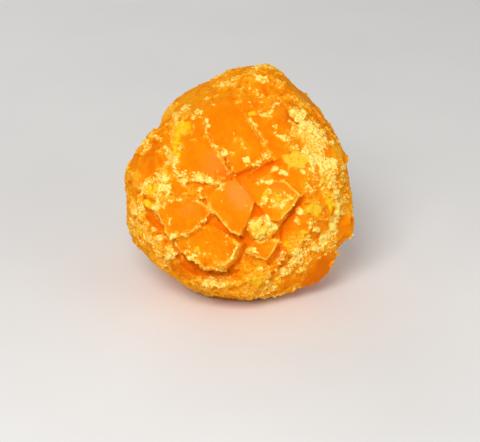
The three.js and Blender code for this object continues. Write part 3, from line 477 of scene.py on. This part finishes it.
# The crust is a film with bits of three sizes in it. The largest are in dry crust, mostly off the facets.
FILM_THICKNESS = 0.16  # mm
big, big_tone = bits_at(knocked, 3.0 * MM, chance=0.7 * patchy, seed=20)
middling, middling_tone = bits_at(knocked, 1.6 * MM, chance=0.8 * patchy, seed=30)
small, small_tone = bits_at(knocked, 0.9 * MM, chance=0.95 * patchy, seed=40)
large = 0.3 * big * ramp(dryness, 0.6, 0.95) * (0.3 + 0.7 * flaky)
heights = np.stack([FILM_THICKNESS * film, large, 0.45 * middling, 0.6 * small])
tones = np.stack([0.3 + 0.5 * finer, 0.8 * big_tone, 0.25 + 0.7 * middling_tone, 0.4 + 0.6 * small_tone])
tallest = heights.argmax(0)
tone = np.take_along_axis(tones, tallest[None], 0)[0]
height = np.maximum(heights.max(0) + 0.3 * film * small, 0.75 * nugget + 0.1 * np.minimum(nugget, small))
crust = ramp(height, 0.04, 0.16)

# How pale the crust is: palest where it is dry and thick, and kept golden down in a cleft as painted shade.
LAID = 0.05  # from this much crust on, a streak's own dryness counts
NUGGET_DRYNESS = 0.9
dryness = np.where(laid > LAID, dryness, 0.52 - 0.06 * skin) + 0.4 * slow
dryness = np.clip(np.where(nugget > 0, NUGGET_DRYNESS, dryness), 0, 1)
paleness_and_shade = 0.35 * tone + dryness - 0.66 + 0.4 * ramp(height, 0.05, 0.32) + 0.35 * finer
paleness_and_shade = np.clip(paleness_and_shade, 0, 1) * ramp(proud, -1.0, 0.1)

# How far the skin rises out of the softened form, in mm. The foot stays flat.
chips = ramp(noise_at(points, pitch=1.4 * MM, octaves=2, seed=6), 0.05, 0.5) * edge
swell = 0.10 * noise_at(points, pitch=6 * MM, octaves=2, seed=7)
swell += 0.03 * noise_at(points, pitch=1.5 * MM, octaves=2, seed=8)
crumbling = noise_at(points, pitch=3.2 * MM, octaves=4, seed=9)
tips = noise_at(points, pitch=1.1 * MM, octaves=2, seed=16)
rise = swell - 0.3 * chips + flaky * (1.2 * flaking + 0.2 * crumbling)
rise -= 0.45 * gap
rise += height + 0.25 * yellow * (1 - crust) + 0.16 * crust * finer + 0.06 * chipped
rise += 0.4 * ramp(proud, 0.5, 1.2) * crust * tips
points = points + normals * (rise * MM)[:, None]
points[:, 2] = np.maximum(points[:, 2], 0)
mesh.vertices.foreach_set("co", points.ravel())

# Painted shade and light on the crust: its small pits are kept golden like the wax, and its tips are made
# the palest.
pit = ((relaxed(mesh, PIT_TURNS) - points) * normals).sum(1) / MM
paleness_and_shade *= 1 + 0.25 * ramp(-pit, 0.02, 0.12) - (0.9 - 0.6 * dryness) * ramp(pit, 0.04, 0.16)

# What the materials and the loose sugar have to know of each point.
broken_edge = ramp(noise_at(points, pitch=4 * MM, octaves=2, seed=14), 0.0, 0.4)
broken_edge *= beside(from_ridge, BROKEN_REACH)
haze = likely - 0.08 * skin + 0.5 * patched(HAZED) - 0.3 * painted_shade + 0.25 * coarse
flake = (flaky + 0.3 * crumbly) * (0.6 * flake_tone + 0.6 * chip_tone - 0.25)
off_table = ramp(points[:, 2] / MM, 0.8, 2.5)
dusty = 1 - 0.55 * np.clip(skin + 0.5 * rim, 0, 1)  # the palm pressed the skin's own dust flat
cover = np.clip(0.035 + dusty * (0.55 * film + 0.45 * patchy), 0, 1)
fields = {
    "crust": crust,
    "paleness_and_shade": paleness_and_shade,
    "haze": np.clip(haze, 0, 1),
    "painted_shade": painted_shade,
    "yellow": yellow,
    "painted_sheen": patched(PAINTED_SHEEN),
    "gap": gap,
    "flake": np.clip(flake, 0, 1),
    "sunk": sunk,
    "edge": np.maximum(0.7 * broken_edge * ramp(off_middle, 30, 24) * on_face, chipped),
    "lemon": lemon,
    "skin": np.clip(skin + 0.6 * rim, 0, 1),
    "cover": cover * ramp(proud, -1.2, -0.2) * off_table,
    "off_table": off_table,
}
for name, values in fields.items():
    mesh.attributes.new(name, "FLOAT", "POINT").data.foreach_set("value", values.astype(np.float32))
mesh.update()

thin_out = lump.modifiers.new("thin out", "DECIMATE")
thin_out.ratio = MOST_TRIANGLES / (2 * len(mesh.polygons))
mesh = baked(lump)
mesh.shade_smooth()

GLOW_SCALE = 1.0 * MM
GLOW_RADIUS = (1.0, 0.35, 0.08)  # how far red, green and blue light go in the wax, in shares of the scale
WAX_GLOW, CRUST_GLOW = 0.7, 0.1  # dry crust is nearly opaque
WAX_ROUGHNESS, CRUST_ROUGHNESS = 0.5, 0.9


def new_material(name, roughness, specular, glow=0.0):
    """A material whose surface is a Principled shader, and the shader. glow is how much light enters it."""
    material = bpy.data.materials.new(name)
    material.use_nodes = True
    surface = material.node_tree.nodes["Principled BSDF"]
    surface.inputs["Roughness"].default_value = roughness
    surface.inputs["Specular IOR Level"].default_value = specular
    if glow:
        surface.inputs["Subsurface Weight"].default_value = glow
        surface.inputs["Subsurface Radius"].default_value = GLOW_RADIUS
        surface.inputs["Subsurface Scale"].default_value = GLOW_SCALE
    return material, surface


def attribute(material, name):
    """A measure that the piece's skin carries."""
    node = material.node_tree.nodes.new("ShaderNodeAttribute")
    node.attribute_name = name
    return node.outputs["Fac"]


def spread(material, value, low, high, to_low=0, to_high=1):
    """A value eased from one range to another."""
    node = material.node_tree.nodes.new("ShaderNodeMapRange")
    node.interpolation_type = "SMOOTHSTEP"
    for name, number in zip(("From Min", "From Max", "To Min", "To Max"), (low, high, to_low, to_high)):
        node.inputs[name].default_value = number
    material.node_tree.links.new(value, node.inputs["Value"])
    return node.outputs["Result"]


def pattern(material, pitch, low, high, detail=2):
    """Noise over the object that goes from 0 to 1 between a low and a high value."""
    nodes, links = material.node_tree.nodes, material.node_tree.links
    place = nodes.new("ShaderNodeTexCoord")
    clouds = nodes.new("ShaderNodeTexNoise")
    clouds.inputs["Scale"].default_value = 1 / pitch
    clouds.inputs["Detail"].default_value = detail
    links.new(place.outputs["Object"], clouds.inputs["Vector"])
    return spread(material, clouds.outputs["Fac"], low, high)


def summed(material, first, second, share):
    """One value plus a share of another."""
    node = material.node_tree.nodes.new("ShaderNodeMath")
    node.operation = "MULTIPLY_ADD"
    node.inputs[1].default_value = share
    material.node_tree.links.new(second, node.inputs[0])
    material.node_tree.links.new(first, node.inputs[2])
    return node.outputs[0]


def mixed(material, share, first, second):
    """The first colour where the share is 0 and the second where it is 1."""
    node = material.node_tree.nodes.new("ShaderNodeMix")
    node.data_type = "RGBA"
    links = material.node_tree.links
    links.new(share, node.inputs["Factor"])
    for socket, colour in ((node.inputs[6], first), (node.inputs[7], second)):
        if isinstance(colour, tuple):
            socket.default_value = (*colour, 1)
        else:
            links.new(colour, socket)
    return node.outputs[2]


def faded(material, value, share):
    """A share of a value, kept between 0 and 1."""
    node = material.node_tree.nodes.new("ShaderNodeMath")
    node.operation = "MULTIPLY"
    node.use_clamp = True
    node.inputs[1].default_value = share
    material.node_tree.links.new(value, node.inputs[0])
    return node.outputs[0]


# Colours of the wax, of its clear and its chipped spots, of painted shade in clefts, shaded patches and
# gaps, of a painted sheen, and of the sugar from golden to the palest.
CLEFT_SHADE, AMBER, SKIN = (0.92, 0.26, 0.002), (0.92, 0.226, 0.001), (0.88, 0.222, 0.002)
EMBER, SHADED_WAX, GAP_SHADE = (0.87, 0.19, 0.001), (0.72, 0.145, 0.001), (0.66, 0.12, 0.001)
SHEEN_PINK, HONEY, CHIP = (0.94, 0.285, 0.030), (0.97, 0.42, 0.009), (1.0, 0.57, 0.065)
CLEAR_YELLOW, LEMON = (1.0, 0.53, 0.004), (1.0, 0.61, 0.04)
GOLD, STRAW, CREAM = (0.95, 0.36, 0.005), (0.99, 0.45, 0.03), (1.0, 0.79, 0.20)

wax, surface = new_material("jaggery", roughness=0.55, specular=0.01, glow=WAX_GLOW)
links = wax.node_tree.links
ragged = pattern(wax, 0.55 * MM, 0.3, 0.7, detail=3)

# The wax, from its broad clouds to its small clear spots, with painted shade on shaded facets, in clefts
# and in gaps, and a painted sheen on some facets.
body = mixed(wax, attribute(wax, "skin"), AMBER, SKIN)
body = mixed(wax, faded(wax, pattern(wax, 2.4 * MM, 0.42, 0.72, detail=4), 0.45), body, GOLD)
body = mixed(wax, faded(wax, pattern(wax, 4.5 * MM, 0.55, 0.4, detail=3), 0.38), body, EMBER)
# Painted shade: darker wax on facets turned from the light and in shaded channels.
body = mixed(wax, faded(wax, attribute(wax, "painted_shade"), 0.75), body, SHADED_WAX)
body = mixed(wax, faded(wax, attribute(wax, "flake"), 0.9), body, HONEY)
body = mixed(wax, faded(wax, pattern(wax, 7 * MM, 0.45, 0.7), 0.25), body, GOLD)
# Painted sheen: pinker, paler wax where the facets would reflect the light.
body = mixed(wax, attribute(wax, "painted_sheen"), body, SHEEN_PINK)
haze_here = summed(wax, attribute(wax, "haze"), ragged, 0.4)
body = mixed(wax, faded(wax, spread(wax, haze_here, 0.32, 0.72), 0.85), body, GOLD)
body = mixed(wax, faded(wax, spread(wax, haze_here, 0.6, 1.1), 0.75), body, STRAW)
# Clean wax down in the clefts, painted a deeper orange as shade.
body = mixed(wax, faded(wax, attribute(wax, "sunk"), 0.6), body, CLEFT_SHADE)
chip_here = summed(wax, attribute(wax, "edge"), ragged, 0.4)
body = mixed(wax, spread(wax, chip_here, 0.35, 1.0), body, CHIP)
# Painted shade in the open borders between flakes, which are also sunk a little.
body = mixed(wax, faded(wax, attribute(wax, "gap"), 0.9), body, GAP_SHADE)
clear = mixed(wax, pattern(wax, 1.3 * MM, 0.4, 0.65, detail=3), CLEAR_YELLOW, LEMON)
body = mixed(wax, attribute(wax, "yellow"), body, clear)
body = mixed(wax, attribute(wax, "lemon"), body, mixed(wax, ragged, LEMON, STRAW))

# The crust on it, rougher and more opaque.
# The crust's paleness carries painted shade in clefts and pits and painted light on its tips.
pale_here = summed(wax, attribute(wax, "paleness_and_shade"), pattern(wax, 0.4 * MM, 0.3, 0.7), 0.6)
sugary = mixed(wax, spread(wax, pale_here, 0.2, 0.8), GOLD, STRAW)
sugary = mixed(wax, spread(wax, pale_here, 0.7, 1.25), sugary, CREAM)
sugary = mixed(wax, faded(wax, attribute(wax, "lemon"), 0.6), sugary, LEMON)
crusted = spread(wax, summed(wax, attribute(wax, "crust"), ragged, 0.5), 0.55, 0.95)
links.new(mixed(wax, crusted, body, sugary), surface.inputs["Base Color"])
links.new(spread(wax, crusted, 0, 1, WAX_ROUGHNESS, CRUST_ROUGHNESS), surface.inputs["Roughness"])
links.new(spread(wax, crusted, 0, 1, WAX_GLOW, CRUST_GLOW), surface.inputs["Subsurface Weight"])
mesh.materials.clear()
mesh.materials.append(wax)

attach(lump, "root")
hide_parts("jaggery_lump")

# ---- Loose sugar ---------------------------------------------------------------------------------------
# Dry grains and crumbs of sugar that broke off when the ball was opened and stuck where they fell: fine
# dust on all the crust, grains among it, and a few coarse crumbs. Each kind lies on the lump's skin.

BLOCK = ("GeometryNodeMeshUVSphere", {"Radius": 1.0, "Segments": 4, "Rings": 2})  # eight sides
PEBBLE = ("GeometryNodeMeshIcoSphere", {"Radius": 1.0})  # twenty sides
LEAST_WIDTHS, MOST_WIDTHS = (0.6, 0.6, 0.4), (1.4, 1.2, 1.0)  # of a grain, in shares of its size
MOSTLY_SMALL = 2.2  # the higher the power, the fewer grains are large
NO_TURN, FULL_TURN = (0, 0, 0), (math.tau, math.tau, math.tau)
NOISE_MIDDLE = (0.5, 0.5, 0.5)


def new_tree(name, inputs):
    """An empty tree with a geometry input, named numbers, and a geometry output."""
    tree = bpy.data.node_groups.new(name, "GeometryNodeTree")
    tree.interface.new_socket("Skin", in_out="INPUT", socket_type="NodeSocketGeometry")
    for label in inputs:
        tree.interface.new_socket(label, in_out="INPUT", socket_type="NodeSocketFloat")
    tree.interface.new_socket("Grains", in_out="OUTPUT", socket_type="NodeSocketGeometry")
    return tree, tree.nodes.new("NodeGroupInput").outputs, tree.nodes.new("NodeGroupOutput").inputs


def joined(tree, kind, links=(), **settings):
    """A node of the tree with its settings, its inputs linked to sockets or set to numbers."""
    node = tree.nodes.new(kind)
    for name, value in settings.items():
        setattr(node, name, value)
    for name, value in dict(links).items():
        if isinstance(value, bpy.types.NodeSocket):
            tree.links.new(value, node.inputs[name])
        else:
            node.inputs[name].default_value = value
    return node


def drawn(tree, least, most, seed):
    """A number or a vector drawn for each grain between two."""
    if isinstance(least, tuple):
        node = joined(tree, "FunctionNodeRandomValue", {0: least, 1: most, "Seed": seed},
                      data_type="FLOAT_VECTOR")
        return node.outputs[0]
    node = joined(tree, "FunctionNodeRandomValue", {2: least, 3: most, "Seed": seed}, data_type="FLOAT")
    return node.outputs[1]


def scaled(tree, vector, by):
    """A vector times a number."""
    return joined(tree, "ShaderNodeVectorMath", {0: vector, "Scale": by}, operation="SCALE").outputs[0]


def strewn(name, material, sizes, shape, seed, where="cover"):
    """A piece of uneven grains strewn over the lump's skin, thickest where an attribute says."""
    tree, given, out = new_tree(name, sizes)
    cover = joined(tree, "GeometryNodeInputNamedAttribute", {"Name": where}, data_type="FLOAT")
    close = joined(tree, "ShaderNodeMath", {0: cover.outputs["Attribute"], 1: given["Bareness"]},
                   operation="SUBTRACT", use_clamp=True)
    density = joined(tree, "ShaderNodeMath", {0: close.outputs[0], 1: given["Density"]},
                     operation="MULTIPLY")
    spots = joined(tree, "GeometryNodeDistributePointsOnFaces", {
        "Mesh": given["Skin"], "Density": density.outputs[0], "Seed": seed})
    few_large = joined(tree, "ShaderNodeMath", {0: drawn(tree, 0.0, 1.0, seed + 1), 1: MOSTLY_SMALL},
                       operation="POWER")
    size = joined(tree, "ShaderNodeMapRange", {
        "Value": few_large.outputs[0], "To Min": given["Least"], "To Max": given["Most"]})
    form = drawn(tree, LEAST_WIDTHS, MOST_WIDTHS, seed + 4)
    grains = joined(tree, "GeometryNodeInstanceOnPoints", {
        "Points": spots.outputs["Points"],
        "Instance": joined(tree, *shape).outputs["Mesh"],
        "Rotation": drawn(tree, NO_TURN, FULL_TURN, seed + 2),
        "Scale": scaled(tree, form, size.outputs["Result"])})
    toned = joined(tree, "GeometryNodeStoreNamedAttribute", {
        "Geometry": grains.outputs["Instances"], "Name": "tone", "Value": drawn(tree, 0.0, 1.0, seed + 3)},
        data_type="FLOAT", domain="INSTANCE")
    whole = joined(tree, "GeometryNodeRealizeInstances", {"Geometry": toned.outputs["Geometry"]})
    uneven = joined(tree, "ShaderNodeTexNoise", {"Scale": given["Roughness"], "Detail": 1.0})
    centred = joined(tree, "ShaderNodeVectorMath", {0: uneven.outputs["Color"], 1: NOISE_MIDDLE},
                     operation="SUBTRACT")
    knocked = joined(tree, "GeometryNodeSetPosition", {
        "Geometry": whole.outputs["Geometry"],
        "Offset": scaled(tree, centred.outputs[0], given["Unevenness"])})
    finished = joined(tree, "GeometryNodeSetMaterial", {
        "Geometry": knocked.outputs["Geometry"], "Material": material})
    tree.links.new(finished.outputs["Geometry"], out["Grains"])

    piece = bpy.data.objects.new(name, lump.data)
    bpy.context.scene.collection.objects.link(piece)
    strew = piece.modifiers.new("strew", "NODES")
    strew.node_group = tree
    for socket in tree.interface.items_tree:
        if socket.in_out == "INPUT" and socket.name in sizes:
            strew[socket.identifier] = sizes[socket.name]
    baked(piece)
    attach(piece, "root")


sugar, surface = new_material("dry sugar", roughness=0.85, specular=0.01)
# Grains take the lump's paleness, with its painted shade in clefts and pits.
pale_grain = summed(sugar, faded(sugar, attribute(sugar, "paleness_and_shade"), 0.7), attribute(sugar, "tone"), 0.4)
colour = mixed(sugar, spread(sugar, pale_grain, 0.1, 0.5), GOLD, STRAW)
colour = mixed(sugar, spread(sugar, pale_grain, 0.45, 0.95), colour, CREAM)
colour = mixed(sugar, faded(sugar, attribute(sugar, "lemon"), 0.6), colour, LEMON)
sugar.node_tree.links.new(colour, surface.inputs["Base Color"])

strewn("sugar_dust", sugar, {
    "Bareness": 0.0, "Density": 3.2 / MM**2, "Least": 0.09 * MM, "Most": 0.2 * MM,
    "Roughness": 1 / (0.5 * MM), "Unevenness": 0.16 * MM}, BLOCK, seed=50)
strewn("sugar_grains", sugar, {
    "Bareness": 0.05, "Density": 1.2 / MM**2, "Least": 0.14 * MM, "Most": 0.34 * MM,
    "Roughness": 1 / (0.6 * MM), "Unevenness": 0.3 * MM}, PEBBLE, seed=60)
strewn("crumbs", sugar, {
    "Bareness": 0.15, "Density": 0.13 / MM**2, "Least": 0.3 * MM, "Most": 0.75 * MM,
    "Roughness": 1 / (1.0 * MM), "Unevenness": 0.6 * MM}, PEBBLE, seed=70)

# ---- Cane specks ---------------------------------------------------------------------------------------
# What the boiling left in the juice: bits of burnt sugar and of cane fibre, a few dark specks that are
# sunk in the skin wherever it is clear of the table.

CHARRED, SINGED = (0.16, 0.03, 0.004), (0.42, 0.11, 0.008)
burnt, surface = new_material("burnt sugar", roughness=0.7, specular=0.05)
burnt_tone = mixed(burnt, attribute(burnt, "tone"), CHARRED, SINGED)
burnt.node_tree.links.new(burnt_tone, surface.inputs["Base Color"])
strewn("cane_specks", burnt, {
    "Bareness": 0.0, "Density": 0.004 / MM**2, "Least": 0.12 * MM, "Most": 0.34 * MM,
    "Roughness": 1 / (0.6 * MM), "Unevenness": 0.2 * MM}, PEBBLE, seed=80, where="off_table")

# ---- Floor, light and camera -------------------------------------------------------------------------
# A pale matt table under a wide soft light from above and in front, weaker ones from the right and from
# behind, the last without a sheen, and light from all round.

TABLE_REACH = 2  # m
DIM_PALE, BRIGHT_PALE = (0.80, 0.79, 0.77), (0.82, 0.81, 0.79)
corners = [(x * TABLE_REACH, y * TABLE_REACH, 0) for x, y in ((-1, -1), (1, -1), (1, 1), (-1, 1))]
floor_mesh = bpy.data.meshes.new("floor")
floor_mesh.from_pydata(corners, [], [(0, 1, 2, 3)])
floor = bpy.data.objects.new("floor", floor_mesh)
bpy.context.scene.collection.objects.link(floor)
table, surface = new_material("pale table", roughness=0.7, specular=0.2)
table_tone = mixed(table, pattern(table, 60 * MM, 0.3, 0.7), DIM_PALE, BRIGHT_PALE)
table.node_tree.links.new(table_tone, surface.inputs["Base Color"])
floor_mesh.materials.append(table)

WHITE = (1, 1, 1, 1)
ROOM_STRENGTH = 0.34
world = bpy.data.worlds.new("studio")
world.use_nodes = True
room = world.node_tree.nodes["Background"]
room.inputs["Color"].default_value = WHITE
room.inputs["Strength"].default_value = ROOM_STRENGTH
bpy.context.scene.world = world


def softbox(name, place, size, power):
    """A square light that faces the ball: where it stands and how wide it is in m, and its power in W."""
    lamp = bpy.data.lights.new(name, "AREA")
    lamp.energy = power
    lamp.size = size
    box = bpy.data.objects.new(name, lamp)
    box.location = place
    box.rotation_euler = (Vector(place) - BALL_MIDDLE).to_track_quat("Z", "Y").to_euler()
    bpy.context.scene.collection.objects.link(box)
    return box


softbox("key", place=(-0.16, -0.62, 0.60), size=0.36, power=5.4)
softbox("fill", place=(0.60, -0.42, 0.30), size=0.5, power=1.2)
behind = softbox("back", place=(-0.40, 0.66, 0.24), size=0.6, power=2.0)
behind.visible_glossy = False

PIXEL = 0.33 * MM  # what a pixel of the view spans at the ball's middle
VIEW_WIDTH = 480  # pixels
DISTANCE = 0.7  # m
AIM_RIGHT, AIM_DOWN = 1.5, 38  # from the ball's middle, in pixels
sight = bpy.data.cameras.new("camera")
sight.lens = sight.sensor_width * DISTANCE / (VIEW_WIDTH * PIXEL)
camera = bpy.data.objects.new("camera", sight)
bpy.context.scene.collection.objects.link(camera)
back = Vector((0, -math.cos(LOOK_UP), math.sin(LOOK_UP)))
up = Vector((0, math.sin(LOOK_UP), math.cos(LOOK_UP)))
aim = BALL_MIDDLE + Vector((AIM_RIGHT, 0, 0)) * PIXEL - up * AIM_DOWN * PIXEL
camera.location = aim + back * DISTANCE
camera.rotation_euler = back.to_track_quat("Z", "Y").to_euler()
bpy.context.scene.camera = camera
bpy.context.scene.view_settings.view_transform = "Standard"
